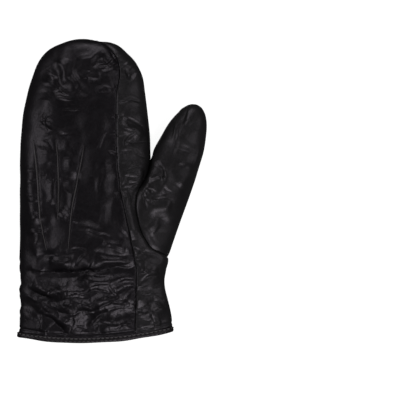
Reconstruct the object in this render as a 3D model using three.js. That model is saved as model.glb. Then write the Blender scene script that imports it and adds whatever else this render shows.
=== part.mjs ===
// A padded leather mitten for the left hand, lying palm down with its back up.
// The fingers point along +Y, the thumb along +X, and it rests on the plane Z = 0.
import * as THREE from 'three';
import { mergeVertices } from 'three/addons/utils/BufferGeometryUtils.js';

// Driving dimensions, in millimetres
const LENGTH = 260; // edge of the hem to the tip of the fingers
const PALM_WIDTH = 112;
const PALM_THICKNESS = 35;
const SEAM_HEIGHT = 15; // of the side seams above the surface that it lies on
const THUMB_REACH = 105; // middle of the palm to the far side of the thumb
const THUMB_THICKNESS = 29;
const WALL = 3.2; // leather with its padding
const GAP = 0.3; // between one piece and the next
const HEM_HEIGHT = 5;
const HEM_PROUD = 0.8; // of the hem past the panels, on both faces
const POINT_WIDTH = 1.6; // the stitched points on the back
const POINT_HEIGHT = 1;
const FOLD_WIDTH = 5;
const FOLD_DEPTH = 1.6;
const GROOVE_REACH = 3; // a seam draws the leather in over this distance
const GROOVE_DEPTH = 0.8;

// How square the sides of a section are: 2 is an ellipse
const HAND_SQUARENESS = 2.5;
const THUMB_SQUARENESS = 2.2;

// Cross sections of the hand from the hem to the tip. Both ends of each one as shares of the
// palm's width and the length; its rise above and drop below the side seams as shares of the
// palm's thickness; how far its middle sags towards the hem as a share of the length; and where
// the seam on the back crosses it, from the left side (0) to the right side (1).
const HAND = [
  // leftX, leftY, rightX, rightY, rise, drop, sag, seam
  [-0.510, 0.036, 0.670, 0.054, 0.370, 0.50, 0.025, 0.765],
  [-0.504, 0.066, 0.665, 0.081, 0.386, 0.50, 0.022, 0.767],
  [-0.506, 0.096, 0.653, 0.109, 0.412, 0.50, 0.019, 0.777],
  [-0.498, 0.132, 0.634, 0.142, 0.437, 0.50, 0.015, 0.792],
  [-0.509, 0.168, 0.615, 0.175, 0.460, 0.50, 0.011, 0.808],
  [-0.497, 0.201, 0.610, 0.205, 0.474, 0.50, 0.007, 0.811],
  [-0.504, 0.238, 0.623, 0.239, 0.494, 0.50, 0.003, 0.802],
  [-0.504, 0.277, 0.638, 0.277, 0.517, 0.50, 0.000, 0.779],
  [-0.498, 0.337, 0.590, 0.337, 0.545, 0.50, 0.000, 0.787],
  [-0.501, 0.403, 0.548, 0.403, 0.568, 0.50, 0.000, 0.787],
  [-0.501, 0.469, 0.521, 0.469, 0.574, 0.50, 0.000, 0.777],
  [-0.499, 0.535, 0.508, 0.535, 0.568, 0.50, 0.000, 0.762],
  [-0.499, 0.604, 0.503, 0.604, 0.557, 0.50, 0.000, 0.751],
  [-0.492, 0.680, 0.498, 0.680, 0.537, 0.50, 0.000, 0.747],
  [-0.475, 0.752, 0.481, 0.752, 0.511, 0.49, 0.000, 0.755],
  [-0.443, 0.822, 0.461, 0.822, 0.470, 0.47, 0.000, 0.768],
  [-0.406, 0.875, 0.441, 0.875, 0.430, 0.43, 0.000, 0.802],
  [-0.360, 0.924, 0.389, 0.922, 0.375, 0.37, 0.000, 0.831],
  [-0.291, 0.960, 0.318, 0.955, 0.310, 0.30, 0.000, 0.836],
  [-0.207, 0.982, 0.261, 0.976, 0.240, 0.23, 0.000, 0.811],
  [-0.111, 0.995, 0.203, 0.987, 0.165, 0.16, 0.000, 0.793],
  [-0.015, 1.000, 0.149, 0.990, 0.088, 0.08, 0.000, 0.767],
  [0.092, 0.995, 0.092, 0.995, 0.000, 0.00, 0.000, 0.760],
];

// Steps of the mesh from each section to the next
const HAND_STEPS = [3, 3, 3, 3, 3, 3, 2, 4, 3, 3, 3, 3, 2, 2, 2, 2, 2, 2, 2, 2, 2, 2];
const BACK_COLUMNS = 20;
const SIDE_COLUMNS = 8; // from the back's seam over the index side
const UNDER_COLUMNS = 14;

// The thumb hole runs from one section of the hand to another. Its edge, at even steps between
// them, as a share of the half turn from the left side over the back to the right side.
const HOLE_FROM = 7;
const HOLE_TO = 12;
const HOLE = [
  // turn
  [1.000], [0.830], [0.789], [0.768], [0.763], [0.763], [0.775], [0.804], [0.869], [0.930], [1.000],
];

// Cross sections of the thumb from its seam to its tip. Its crotch side and its outer side as
// shares of the thumb's reach and the length; its middle's height, its rise and its drop as
// shares of its thickness.
const THUMB = [
  // crotchX, crotchY, outerX, outerY, middle, rise, drop
  [0.537, 0.604, 0.680, 0.277, 0.517, 0.570, 0.586],
  [0.551, 0.619, 0.723, 0.330, 0.517, 0.552, 0.586],
  [0.559, 0.632, 0.777, 0.393, 0.510, 0.538, 0.569],
  [0.579, 0.649, 0.836, 0.459, 0.500, 0.524, 0.552],
  [0.612, 0.672, 0.889, 0.520, 0.490, 0.510, 0.538],
  [0.649, 0.698, 0.932, 0.576, 0.476, 0.490, 0.517],
  [0.691, 0.724, 0.970, 0.627, 0.462, 0.455, 0.483],
  [0.742, 0.749, 0.989, 0.675, 0.448, 0.407, 0.431],
  [0.789, 0.767, 0.996, 0.716, 0.438, 0.345, 0.359],
  [0.834, 0.779, 0.985, 0.749, 0.428, 0.262, 0.266],
  [0.868, 0.785, 0.955, 0.772, 0.421, 0.148, 0.148],
  [0.914, 0.784, 0.914, 0.784, 0.417, 0.000, 0.000],
];
const THUMB_STEPS = 2; // of the mesh from each section to the next
const BLEND_ROWS = 5; // sections over which the seam's shape turns into the thumb's own

// Folds and soft ridges pressed into the upper side, each along a straight line: its ends as
// shares of the palm's width and the length, its width as a share of the fold width and its
// height as a share of the fold depth, below zero for a valley.
const FOLDS = [
  // fromX, fromY, toX, toY, width, height
  // the long valley down the back and the ridges beside it
  [0.11, 0.815, 0.15, 0.601, 2.06, -1.0],
  [0.15, 0.601, 0.08, 0.396, 1.72, -0.8],
  [-0.32, 0.848, -0.33, 0.683, 1.03, 0.5],
  [-0.40, 0.617, -0.38, 0.363, 0.86, 0.5],
  [-0.11, 0.683, -0.12, 0.502, 0.86, 0.5],
  [0.21, 0.535, 0.21, 0.337, 0.69, 0.4],
  // over the finger tips
  [-0.28, 0.911, -0.19, 0.825, 0.69, -0.8],
  [-0.18, 0.927, -0.05, 0.832, 0.69, -0.8],
  [-0.05, 0.908, 0.04, 0.822, 0.69, 0.5],
  [0.11, 0.967, 0.02, 0.924, 0.69, 0.5],
  [0.32, 0.888, 0.31, 0.865, 0.69, -0.7],
  [-0.01, 0.805, 0.21, 0.812, 0.51, -0.4],
  // across the wrist
  [-0.28, 0.281, 0.04, 0.290, 0.55, -0.7],
  [0.04, 0.290, 0.37, 0.290, 0.55, -0.7],
  [0.37, 0.290, 0.62, 0.264, 0.55, -0.5],
  [-0.31, 0.254, 0.06, 0.267, 0.51, 0.6],
  [-0.41, 0.234, -0.10, 0.221, 0.58, -1.0],
  [-0.10, 0.221, 0.39, 0.244, 0.58, -1.0],
  [-0.19, 0.191, 0.27, 0.208, 0.58, 0.6],
  [-0.41, 0.185, -0.19, 0.152, 0.55, -0.8],
  [-0.19, 0.152, 0.04, 0.165, 0.55, -0.8],
  [-0.19, 0.129, 0.21, 0.142, 0.58, 0.6],
  [-0.21, 0.106, 0.19, 0.116, 0.55, -0.9],
  [0.19, 0.116, 0.39, 0.162, 0.55, -0.9],
  [-0.34, 0.096, -0.11, 0.043, 0.55, -0.7],
  [0.06, 0.056, 0.19, 0.109, 0.51, -0.6],
  [0.40, 0.165, 0.56, 0.178, 0.51, -0.6],
  [0.26, 0.109, 0.61, 0.149, 0.51, -0.7],
  // across the index side
  [0.25, 0.795, 0.47, 0.795, 0.51, -0.5],
  [0.25, 0.746, 0.45, 0.706, 0.51, -0.7],
  [0.30, 0.653, 0.49, 0.660, 0.51, -0.5],
  [0.26, 0.624, 0.49, 0.607, 0.51, -0.5],
  // on the thumb
  [0.68, 0.627, 0.86, 0.611, 0.69, -0.7],
  [0.74, 0.746, 0.70, 0.667, 0.86, 0.4],
  [0.59, 0.581, 0.60, 0.515, 0.51, -0.5],
  [0.56, 0.439, 0.70, 0.436, 0.86, 0.4],
];

// The three stitched points on the back, from the fingers to the wrist, as shares of the
// palm's width and the length
const POINTS = {
  point_outer: [[-0.387, 0.667], [-0.364, 0.601], [-0.351, 0.525], [-0.322, 0.393], [-0.279, 0.304]],
  point_middle: [[-0.210, 0.667], [-0.197, 0.601], [-0.195, 0.508], [-0.197, 0.403]],
  point_inner: [[0.002, 0.650], [-0.015, 0.604], [-0.061, 0.505], [-0.093, 0.429], [-0.115, 0.304]],
};
const POINT_STEPS = 18;

const BACK_SHORT = 0.25; // sections by which the back panel stops short of the tip
const CROTCH_REACH = 8; // millimetres round the crotch
const CROTCH_LEAN = 1.5;

const TIP = HAND.length - 1;
const THUMB_TIP = THUMB.length - 1;
const FULL_TURN = 2 * Math.PI;
const MERGE = 1e-4;

const BACK_LEATHER = { color: 0x1c1719, roughness: 0.45, metalness: 0 };
const PALM_LEATHER = { color: 0x1a1b1a, roughness: 0.5, metalness: 0 };

const mix = THREE.MathUtils.lerp;
const bump = (distance, reach) => Math.exp(-((distance / reach) ** 2));

// The row of a table at a place between its rows, along smooth curves through its columns.
function sample(table, at) {
  const start = Math.min(Math.floor(at), table.length - 2);
  const near = (k) => table[THREE.MathUtils.clamp(k, 0, table.length - 1)];
  const rows = [near(start - 1), near(start), near(start + 1), near(start + 2)];
  const share = at - start;
  return rows[1].map((_, column) => {
    const [a, b, c, d] = rows.map((row) => row[column]);
    const bend = (2 * a - 5 * b + 4 * c - d) * share + (3 * b - a - 3 * c + d) * share * share;
    return b + 0.5 * share * (c - a + bend);
  });
}

// Height of a section's outline over its middle, as a share, at an angle round it.
function arch(angle, squareness) {
  return (1 - Math.abs(Math.cos(angle)) ** squareness) ** (1 / squareness);
}

// Unit normal of a surface of two parameters, from small steps along both of them.
function normalOf(surface, at, angle, last) {
  const step = 0.01;
  const towards = at > last - step ? -step : step;
  const here = surface(at, angle);
  const along = surface(at + towards, angle).sub(here).multiplyScalar(Math.sign(towards));
  const around = surface(at, angle + step).sub(surface(at, angle - step));
  return around.cross(along).normalize();
}

// At a tip the sections shrink to a point, where the normal is the mean of those round it.
function tipNormal(surface, last) {
  const mean = new THREE.Vector3();
  for (let k = 0; k < 12; k += 1) {
    mean.add(normalOf(surface, last - 0.1, (k + 0.5) * FULL_TURN / 12, last));
  }
  return mean.normalize();
}

// Smooth outer surface of the hand: the angle runs from the left side (0) over the back to the
// right side (half a turn) and on underneath.
function handBase(at, angle) {
  const [leftX, leftY, rightX, rightY, rise, drop, sag] = sample(HAND, at);
  const across = (1 - Math.cos(angle)) / 2;
  const over = Math.sin(angle) >= 0;
  const height = arch(angle, HAND_SQUARENESS) * PALM_THICKNESS * (over ? rise : -drop);
  const lift = HEM_PROUD * Math.max(0, 1 - at / 2);
  return new THREE.Vector3(
    mix(leftX, rightX, across) * PALM_WIDTH,
    (mix(leftY, rightY, across) - sag * 4 * across * (1 - across)) * LENGTH,
    Math.max(SEAM_HEIGHT + height, lift),
  );
}

function handNormal(at, angle) {
  return at >= TIP ? tipNormal(handBase, TIP) : normalOf(handBase, at, angle, TIP);
}

// Angle of the seam on the back, where the back panel meets the palm panel.
function seamAngle(at) {
  return Math.acos(1 - 2 * sample(HAND, at)[7]);
}

// Angle of the thumb hole's upper edge, or of the right side where there is no hole.
function holeAngle(at) {
  if (at <= HOLE_FROM || at >= HOLE_TO) return Math.PI;
  const along = (at - HOLE_FROM) / (HOLE_TO - HOLE_FROM);
  return Math.PI * sample(HOLE, along * (HOLE.length - 1))[0];
}

// The turn that moves a point of the hand by half a gap.
function halfGapAngle(at, angle) {
  const step = 0.01;
  const length = handBase(at, angle + step).distanceTo(handBase(at, angle - step));
  return Math.min(0.3, (GAP / 2) * 2 * step / Math.max(length, MERGE));
}

// How far a seam draws the leather in at a place on the hand.
function handGroove(at, angle) {
  const here = handBase(at, angle);
  const seams = [0, seamAngle(at), FULL_TURN];
  if (at > HOLE_FROM && at < HOLE_TO) seams.push(holeAngle(at), FULL_TURN - holeAngle(at));
  const nearest = Math.min(...seams.map((seam) => handBase(at, seam).distanceTo(here)));
  return GROOVE_DEPTH * bump(nearest, GROOVE_REACH);
}

// Height of the folds over a place seen from above.
function foldHeight(point) {
  const place = new THREE.Vector3(point.x, point.y, 0);
  const nearest = new THREE.Vector3();
  return FOLDS.reduce((sum, [fromX, fromY, toX, toY, width, height]) => {
    const from = new THREE.Vector3(fromX * PALM_WIDTH, fromY * LENGTH, 0);
    const to = new THREE.Vector3(toX * PALM_WIDTH, toY * LENGTH, 0);
    new THREE.Line3(from, to).closestPointToPoint(place, true, nearest);
    return sum + height * FOLD_DEPTH * bump(nearest.distanceTo(place), width * FOLD_WIDTH);
  }, 0);
}

// Folds fade out towards the sides of a section and the tip, and leave the underside flat.
function foldShare(angle, toTip) {
  return Math.sqrt(Math.max(0, Math.sin(angle))) * Math.min(1, toTip);
}

function handOuter(at, angle) {
  const point = handBase(at, angle);
  const lift = foldHeight(point) * foldShare(angle, TIP - at) - handGroove(at, angle);
  return point.addScaledVector(handNormal(at, angle), lift);
}

// Direction through the wall: the leather folds round the crotch, so it leans over there.
function wallNormal(at, angle) {
  const crotch = handBase(HOLE_TO, Math.PI);
  const lean = CROTCH_LEAN * bump(handBase(at, angle).distanceTo(crotch), CROTCH_REACH);
  return handNormal(at, angle).add(new THREE.Vector3(0, lean, 0)).normalize();
}

function handInner(at, angle) {
  return handBase(at, angle).addScaledVector(wallNormal(at, angle), -WALL);
}

// The triangles of one closed solid: an outer face on a fine grid, an inner face on a grid half
// as fine, and the rims between them. A grid is a list of rows of points.
class Shell {
  constructor() {
    this.corners = [];
  }

  triangle(a, b, c) {
    const shortest = Math.min(a.distanceTo(b), b.distanceTo(c), c.distanceTo(a));
    if (shortest > MERGE) [a, b, c].forEach((p) => this.corners.push(p.x, p.y, p.z));
  }

  quad(a, b, c, d) {
    this.triangle(a, b, c);
    this.triangle(a, c, d);
  }

  face(grid) {
    for (let r = 0; r < grid.length - 1; r += 1) {
      for (let c = 0; c < grid[r].length - 1; c += 1) {
        this.quad(grid[r][c], grid[r][c + 1], grid[r + 1][c + 1], grid[r + 1][c]);
      }
    }
  }

  backFace(grid) {
    this.face(grid.map((row) => [...row].reverse()));
  }

  // Between an outer edge, taken with its face on the left, and the inner edge under it.
  rim(outer, inner) {
    for (let k = 0; k < inner.length - 1; k += 1) {
      const [from, middle, to] = outer.slice(2 * k, 2 * k + 3);
      this.triangle(middle, from, inner[k]);
      this.triangle(middle, inner[k], inner[k + 1]);
      this.triangle(to, middle, inner[k + 1]);
    }
  }

  geometry() {
    const geometry = new THREE.BufferGeometry();
    geometry.setAttribute('position', new THREE.Float32BufferAttribute(this.corners, 3));
    return mergeVertices(geometry, MERGE);
  }
}

const halve = (list) => list.filter((_, k) => k % 2 === 0);
const column = (grid, c, from = 0, to = grid.length - 1) => (
  grid.slice(from, to + 1).map((row) => row.at(c))
);

// Places of the mesh's rows along the hand.
function handStations() {
  const stations = HAND_STEPS.flatMap((steps, row) => (
    Array.from({ length: steps }, (_, k) => row + k / steps)
  ));
  return [...stations, TIP];
}

// Outer and inner grids of a strip of the hand between two angles that change along it.
function handStrip(stations, columns, fromAngle, toAngle) {
  const grid = (surface, list, count) => list.map((at) => (
    Array.from({ length: count + 1 }, (_, k) => surface(at, mix(fromAngle(at), toAngle(at), k / count)))
  ));
  return {
    outer: grid(handOuter, stations, columns),
    inner: grid(handInner, halve(stations), columns / 2),
  };
}

// The back of the hand, from the left side to the seam on the back.
function backStrip() {
  const stations = handStations();
  stations[stations.length - 1] = TIP - BACK_SHORT;
  const from = (at) => halfGapAngle(at, 0);
  const to = (at) => seamAngle(at) - halfGapAngle(at, seamAngle(at));
  return handStrip(stations, BACK_COLUMNS, from, to);
}

function backPanel({ outer, inner }) {
  const shell = new Shell();
  shell.face(outer);
  shell.backFace(inner);
  shell.rim(outer[0], inner[0]);
  shell.rim(column(outer, -1), column(inner, -1));
  shell.rim([...outer.at(-1)].reverse(), [...inner.at(-1)].reverse());
  shell.rim(column(outer, 0).reverse(), column(inner, 0).reverse());
  return shell.geometry();
}

// The palm, from the seam on the back over the index side and underneath to the left side.
// Its two strips share an edge along the right side, and part there round the thumb hole.
function palmStrips() {
  const stations = handStations();
  const seam = (at) => seamAngle(at) + halfGapAngle(at, seamAngle(at));
  const end = (at) => FULL_TURN - halfGapAngle(at, 0);
  return {
    stations,
    side: handStrip(stations, SIDE_COLUMNS, seam, holeAngle),
    under: handStrip(stations, UNDER_COLUMNS, (at) => FULL_TURN - holeAngle(at), end),
  };
}

function palmPanel({ stations, side, under }) {
  const shell = new Shell();
  for (const { outer, inner } of [side, under]) {
    shell.face(outer);
    shell.backFace(inner);
    shell.rim(outer[0], inner[0]);
  }
  shell.rim(column(side.outer, 0).reverse(), column(side.inner, 0).reverse());
  shell.rim(column(under.outer, -1), column(under.inner, -1));
  const [from, to] = [stations.indexOf(HOLE_FROM), stations.indexOf(HOLE_TO)];
  const cut = (grid, c, share) => column(grid, c, from / share, to / share);
  shell.rim(cut(side.outer, -1, 1), cut(side.inner, -1, 2));
  shell.rim(cut(under.outer, 0, 1).reverse(), cut(under.inner, 0, 2).reverse());
  return shell.geometry();
}

// Places round the thumb hole, from the crotch over the upper edge and back underneath.
function holePlaces(stations) {
  const inHole = stations.filter((at) => at >= HOLE_FROM && at <= HOLE_TO);
  const upper = [...inHole].reverse().map((at) => ({ at, angle: holeAngle(at) }));
  const lower = inHole.slice(1).map((at) => ({ at, angle: FULL_TURN - holeAngle(at) }));
  return [...upper, ...lower];
}

// The thumb's edge lies inside the hole, a gap away from its edge.
function thumbRing(stations) {
  const places = holePlaces(stations);
  const count = places.length - 1;
  const edge = places.map(({ at, angle }) => handBase(at, angle));
  return places.map(({ at, angle }, k) => {
    const next = edge[(k + 1) % count];
    const tangent = next.clone().sub(edge[(k - 1 + count) % count]);
    const inwards = handNormal(at, angle).cross(tangent).normalize();
    const point = edge[k].clone().addScaledVector(inwards, GAP);
    return { point, normal: wallNormal(at, angle) };
  });
}

// Smooth shape of the free thumb: the angle runs from the crotch over the top to the outer side.
function thumbBase(at, angle) {
  const [crotchX, crotchY, outerX, outerY, middle, rise, drop] = sample(THUMB, at);
  const across = (1 - Math.cos(angle)) / 2;
  const height = arch(angle, THUMB_SQUARENESS) * (Math.sin(angle) >= 0 ? rise : -drop);
  return new THREE.Vector3(
    mix(crotchX, outerX, across) * THUMB_REACH,
    mix(crotchY, outerY, across) * LENGTH,
    Math.max(0, (middle + height) * THUMB_THICKNESS),
  );
}

// The thumb starts at its ring and turns into its free shape over the first sections.
function thumbStrip(stations) {
  const ring = thumbRing(stations);
  const count = ring.length - 1;
  const roots = ring.map(({ point }, k) => point.clone().sub(thumbBase(0, FULL_TURN * k / count)));
  const smooth = (at, k) => {
    const fade = Math.max(0, 1 - at / BLEND_ROWS) ** 2;
    return thumbBase(at, FULL_TURN * k / count).addScaledVector(roots[k], fade);
  };
  const normal = (at, k) => {
    if (at >= THUMB_TIP) return tipNormal(thumbBase, THUMB_TIP);
    const own = normalOf(thumbBase, at, FULL_TURN * k / count, THUMB_TIP);
    return ring[k].normal.clone().lerp(own, Math.min(1, at / 2)).normalize();
  };
  const outer = (at, k) => {
    const point = smooth(at, k);
    const groove = GROOVE_DEPTH * bump(point.distanceTo(ring[k].point), GROOVE_REACH);
    const share = foldShare(FULL_TURN * k / count, Math.min(at, THUMB_TIP - at));
    const folds = foldHeight(point) * share;
    return point.addScaledVector(normal(at, k), folds - groove);
  };
  const inner = (at, k) => smooth(at, k).addScaledVector(normal(at, k), -WALL);
  const rows = Array.from({ length: THUMB_TIP * THUMB_STEPS + 1 }, (_, k) => k / THUMB_STEPS);
  const columns = ring.map((_, k) => k);
  return {
    outer: rows.map((at) => columns.map((k) => outer(at, k % count))),
    inner: halve(rows).map((at) => halve(columns).map((k) => inner(at, k % count))),
  };
}

function thumb({ outer, inner }) {
  const shell = new Shell();
  shell.face(outer);
  shell.backFace(inner);
  shell.rim(outer[0], inner[0]);
  return shell.geometry();
}

// The rolled hem: a thick ring round the opening that carries on the line of the panels.
function cuffHem() {
  const turns = 60;
  const sides = 8;
  const reach = 1 / Math.cos(Math.PI / sides);
  const rings = Array.from({ length: turns + 1 }, (_, k) => {
    const angle = FULL_TURN * (k % turns) / turns;
    const edge = handBase(0, angle);
    const normal = handNormal(0, angle);
    const down = edge.clone().sub(handBase(0.1, angle)).normalize();
    return Array.from({ length: sides + 1 }, (_, side) => {
      const turn = FULL_TURN * ((side % sides) + 0.5) / sides;
      const out = -WALL / 2 + reach * Math.cos(turn) * (WALL / 2 + HEM_PROUD);
      const below = GAP + HEM_HEIGHT / 2 + reach * Math.sin(turn) * HEM_HEIGHT / 2;
      return edge.clone().addScaledVector(normal, out).addScaledVector(down, below);
    });
  });
  const shell = new Shell();
  shell.face(rings);
  return shell.geometry();
}

// Height of a grid's facets over a place seen from above.
function heightOn(grid, x, y) {
  const place = new THREE.Vector3(x, y, 0);
  const flat = (p) => new THREE.Vector3(p.x, p.y, 0);
  for (let r = 0; r < grid.length - 1; r += 1) {
    for (let c = 0; c < grid[r].length - 1; c += 1) {
      const [a, b, d, e] = [grid[r][c], grid[r][c + 1], grid[r + 1][c + 1], grid[r + 1][c]];
      for (const corners of [[a, b, d], [a, d, e]]) {
        const share = THREE.Triangle.getBarycoord(place, ...corners.map(flat), new THREE.Vector3());
        if (share && Math.min(share.x, share.y, share.z) >= 0) {
          return corners[0].z * share.x + corners[1].z * share.y + corners[2].z * share.z;
        }
      }
    }
  }
  return -Infinity;
}

// A stitched point: a thin ridge along its line, seated on the back panel and thinner at its ends.
function stitchedPoint(line, grid) {
  const path = new THREE.SplineCurve(line.map(([x, y]) => new THREE.Vector2(x * PALM_WIDTH, y * LENGTH)));
  const places = path.getSpacedPoints(POINT_STEPS);
  const half = path.getLength() / POINT_STEPS / 2;
  const rings = places.map((place, k) => {
    const along = path.getTangentAt(k / POINT_STEPS);
    const aside = new THREE.Vector2(along.y, -along.x);
    const size = 0.5 + 0.5 * Math.sin(Math.PI * k / POINT_STEPS) ** 0.5;
    const at = (side, ahead) => (
      place.clone().addScaledVector(aside, side * POINT_WIDTH / 2).addScaledVector(along, ahead * half)
    );
    const seat = GAP + Math.max(...[-1, 0, 1].flatMap((side) => (
      [-1, 0, 1].map((ahead) => {
        const { x, y } = at(side, ahead);
        return heightOn(grid, x, y);
      })
    )));
    const corner = (side, up) => {
      const { x, y } = at(side * size, 0);
      return new THREE.Vector3(x, y, seat + up * size * POINT_HEIGHT);
    };
    return [corner(-1, 0), corner(-0.6, 0.8), corner(0, 1), corner(0.6, 0.8), corner(1, 0), corner(-1, 0)];
  });
  const shell = new Shell();
  shell.face(rings);
  const cap = (ring) => [1, 2, 3].forEach((k) => shell.triangle(ring[0], ring[k], ring[k + 1]));
  cap([...rings[0]].reverse());
  cap(rings.at(-1));
  return shell.geometry();
}

function named(name, geometry, leather) {
  const mesh = new THREE.Mesh(geometry, new THREE.MeshStandardMaterial(leather));
  mesh.name = name;
  return mesh;
}

const back = backStrip();
const palm = palmStrips();
const group = new THREE.Group();
group.add(
  named('back_panel', backPanel(back), BACK_LEATHER),
  named('palm_panel', palmPanel(palm), PALM_LEATHER),
  named('thumb', thumb(thumbStrip(palm.stations)), PALM_LEATHER),
  named('cuff_hem', cuffHem(), BACK_LEATHER),
);
for (const [name, line] of Object.entries(POINTS)) {
  group.add(named(name, stitchedPoint(line, back.outer), BACK_LEATHER));
}

// The origin is on the surface that it lies on, under the middle of its outline
const box = new THREE.Box3().setFromObject(group);
const middle = box.getCenter(new THREE.Vector3());
group.position.set(-middle.x, -middle.y, -box.min.z);

export default group;
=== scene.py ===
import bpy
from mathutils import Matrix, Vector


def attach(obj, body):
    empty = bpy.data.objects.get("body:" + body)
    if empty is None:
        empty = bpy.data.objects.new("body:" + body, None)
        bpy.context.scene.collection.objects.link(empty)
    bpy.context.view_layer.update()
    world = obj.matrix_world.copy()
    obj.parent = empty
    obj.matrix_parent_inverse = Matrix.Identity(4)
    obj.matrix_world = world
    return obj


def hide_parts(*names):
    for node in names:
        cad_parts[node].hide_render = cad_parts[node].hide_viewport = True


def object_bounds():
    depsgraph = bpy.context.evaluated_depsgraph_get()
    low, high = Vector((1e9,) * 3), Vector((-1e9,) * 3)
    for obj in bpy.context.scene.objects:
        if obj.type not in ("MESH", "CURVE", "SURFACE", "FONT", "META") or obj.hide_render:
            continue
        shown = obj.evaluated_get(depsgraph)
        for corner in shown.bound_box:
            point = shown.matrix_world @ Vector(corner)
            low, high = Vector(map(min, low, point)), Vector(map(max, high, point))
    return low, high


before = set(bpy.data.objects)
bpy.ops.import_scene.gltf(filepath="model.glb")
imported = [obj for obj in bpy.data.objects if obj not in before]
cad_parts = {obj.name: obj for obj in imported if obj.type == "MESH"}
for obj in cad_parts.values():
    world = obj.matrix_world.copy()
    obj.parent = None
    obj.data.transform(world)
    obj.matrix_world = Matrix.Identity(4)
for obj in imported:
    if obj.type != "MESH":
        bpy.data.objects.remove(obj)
cad_box = [[float(v) for v in corner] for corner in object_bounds()]

import bmesh
import bpy
import numpy as np
from mathutils import Vector

# The back of the hand
# One panel of thin black nappa leather over soft padding, sewn to the palm panel along the little
# finger side, over the tip and down beside the index finger. Wear has shaped it: a long valley
# down the middle, pinched finger tips and deep folds across the wrist.

# Sizes are in millimetres, in the hand's own plan: x from the middle line of the palm towards
# the thumb, y from the hem towards the finger tips.
PALM_WIDTH = 112.0
PALM_THICKNESS = 35.0
SEAM_HEIGHT = 15.0
LENGTH = 260.0
HEM_PROUD = 0.8  # how far the hem stands out from the leather above it
WALL = 3.2  # leather and padding together
GAP = 0.45  # between two panels at a seam
HAND_SQUARENESS = 2.5
FULL_TURN = 2 * np.pi

# Cross sections from the hem to the tip: both ends as shares of the palm's width and the length,
# rise and drop as shares of the palm's thickness, the middle's sag as a share of the length, and
# the place of the back's seam between the ends.
HAND = [
    # left x, left y, right x, right y, rise, drop, sag, seam
    (-0.510, 0.036, 0.670, 0.054, 0.370, 0.50, 0.025, 0.765),
    (-0.504, 0.066, 0.665, 0.081, 0.386, 0.50, 0.022, 0.767),
    (-0.506, 0.096, 0.653, 0.109, 0.412, 0.50, 0.019, 0.777),
    (-0.498, 0.132, 0.634, 0.142, 0.437, 0.50, 0.015, 0.792),
    (-0.509, 0.168, 0.615, 0.175, 0.460, 0.50, 0.011, 0.808),
    (-0.497, 0.201, 0.610, 0.205, 0.474, 0.50, 0.007, 0.811),
    (-0.504, 0.238, 0.623, 0.239, 0.494, 0.50, 0.003, 0.802),
    (-0.504, 0.277, 0.638, 0.277, 0.517, 0.50, 0.000, 0.779),
    (-0.498, 0.337, 0.590, 0.337, 0.545, 0.50, 0.000, 0.787),
    (-0.501, 0.403, 0.548, 0.403, 0.568, 0.50, 0.000, 0.787),
    (-0.501, 0.469, 0.521, 0.469, 0.574, 0.50, 0.000, 0.777),
    (-0.499, 0.535, 0.508, 0.535, 0.568, 0.50, 0.000, 0.762),
    (-0.499, 0.604, 0.503, 0.604, 0.557, 0.50, 0.000, 0.751),
    (-0.492, 0.680, 0.498, 0.680, 0.537, 0.50, 0.000, 0.747),
    (-0.475, 0.752, 0.481, 0.752, 0.511, 0.49, 0.000, 0.755),
    (-0.443, 0.822, 0.461, 0.822, 0.470, 0.47, 0.000, 0.768),
    (-0.406, 0.875, 0.441, 0.875, 0.430, 0.43, 0.000, 0.802),
    (-0.360, 0.924, 0.389, 0.922, 0.375, 0.37, 0.000, 0.831),
    (-0.291, 0.960, 0.318, 0.955, 0.310, 0.30, 0.000, 0.836),
    (-0.207, 0.982, 0.261, 0.976, 0.240, 0.23, 0.000, 0.811),
    (-0.111, 0.995, 0.203, 0.987, 0.165, 0.16, 0.000, 0.793),
    (-0.015, 1.000, 0.149, 0.990, 0.088, 0.08, 0.000, 0.767),
    (0.092, 0.995, 0.092, 0.995, 0.000, 0.00, 0.000, 0.760),
]
TIP = len(HAND) - 1
low, high = np.array(cad_box) * 1000
hand_origin = np.array([low[0] - HAND[0][0] * PALM_WIDTH + HEM_PROUD, high[1] - LENGTH, 0.0])

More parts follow.
